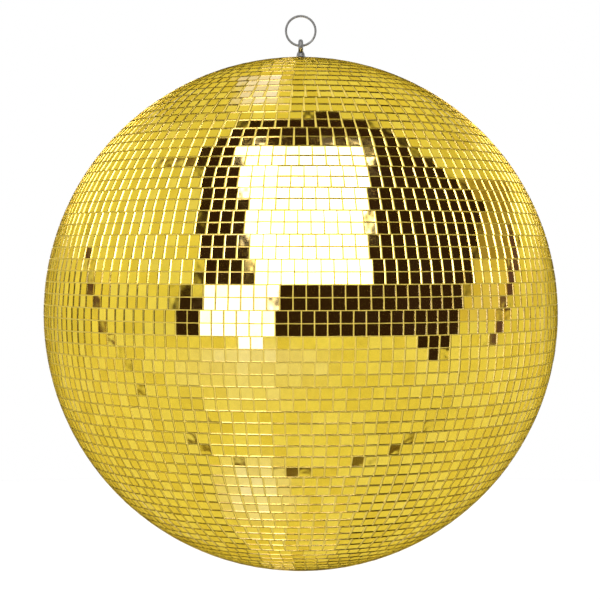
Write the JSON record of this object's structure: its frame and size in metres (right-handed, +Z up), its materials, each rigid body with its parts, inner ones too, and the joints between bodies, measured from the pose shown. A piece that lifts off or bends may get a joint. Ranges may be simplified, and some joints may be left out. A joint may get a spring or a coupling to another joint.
{
  "type": "mirror ball",
  "caption": "Round mirror ball covered in square glass mirror tiles, hung from a split ring through an eye bolt.",
  "frame": {"origin": "hanging point: the top of the split ring's inner wall, where a hook or motor loop bears", "axes": "+Z up along the eye bolt and the ball's vertical axis; the split ring stands in the XZ plane and the eye in the YZ plane, so the ring swings about X"},
  "size_m": [0.5, 0.4999, 0.5417],
  "materials": {
    "mirror_tiles": "gold-tinted glass mirror",
    "core_plastic": "moulded, pale cream",
    "cap_plastic": "moulded, gold",
    "ring_steel": "grey spring steel",
    "hanger_steel": "nickel-plated",
    "inner_steel": "zinc-plated"
  },
  "bodies": {
    "hanging_ring": {"split_ring": "ring_steel"},
    "ball": {"bottom_pole_cap": "cap_plastic", "eye_bolt": "hanger_steel", "flat_washer": "inner_steel", "hanger_collar": "hanger_steel", "joining_band": "core_plastic", "load_plate": "inner_steel", "load_plate_rivets": "inner_steel", "lock_nut": "inner_steel", "lower_core_shell": "core_plastic", "lower_polar_row_01": "mirror_tiles", "lower_polar_row_02": "mirror_tiles", "lower_polar_row_03": "mirror_tiles", "lower_polar_row_04": "mirror_tiles", "lower_polar_row_05": "mirror_tiles", "lower_polar_row_06": "mirror_tiles", "lower_polar_row_07": "mirror_tiles", "lower_polar_row_08": "mirror_tiles", "lower_polar_row_09": "mirror_tiles", "lower_polar_row_10": "mirror_tiles", "lower_polar_row_11": "mirror_tiles", "lower_polar_row_12": "mirror_tiles", "mirror_strip_01": "mirror_tiles", "mirror_strip_02": "mirror_tiles", "mirror_strip_03": "mirror_tiles", "mirror_strip_04": "mirror_tiles", "mirror_strip_05": "mirror_tiles", "mirror_strip_06": "mirror_tiles", "mirror_strip_07": "mirror_tiles", "mirror_strip_08": "mirror_tiles", "mirror_strip_09": "mirror_tiles", "mirror_strip_10": "mirror_tiles", "mirror_strip_11": "mirror_tiles", "mirror_strip_12": "mirror_tiles", "mirror_strip_13": "mirror_tiles", "mirror_strip_14": "mirror_tiles", "mirror_strip_15": "mirror_tiles", "mirror_strip_16": "mirror_tiles", "mirror_strip_17": "mirror_tiles", "mirror_strip_18": "mirror_tiles", "mirror_strip_19": "mirror_tiles", "mirror_strip_20": "mirror_tiles", "mirror_strip_21": "mirror_tiles", "mirror_strip_22": "mirror_tiles", "mirror_strip_23": "mirror_tiles", "spring_washer": "inner_steel", "top_pole_cap": "cap_plastic", "upper_core_shell": "core_plastic", "upper_polar_row_01": "mirror_tiles", "upper_polar_row_02": "mirror_tiles", "upper_polar_row_03": "mirror_tiles", "upper_polar_row_04": "mirror_tiles", "upper_polar_row_05": "mirror_tiles", "upper_polar_row_06": "mirror_tiles", "upper_polar_row_07": "mirror_tiles", "upper_polar_row_08": "mirror_tiles", "upper_polar_row_09": "mirror_tiles", "upper_polar_row_10": "mirror_tiles", "upper_polar_row_11": "mirror_tiles", "upper_polar_row_12": "mirror_tiles"}
  },
  "joints": [
    {"name": "ball_swing", "type": "hinge", "parent": "hanging_ring", "child": "ball", "pos_m": [0, 0, -0.0287], "axis": [1, 0, 0], "range_deg": [-105, 105]}
  ]
}
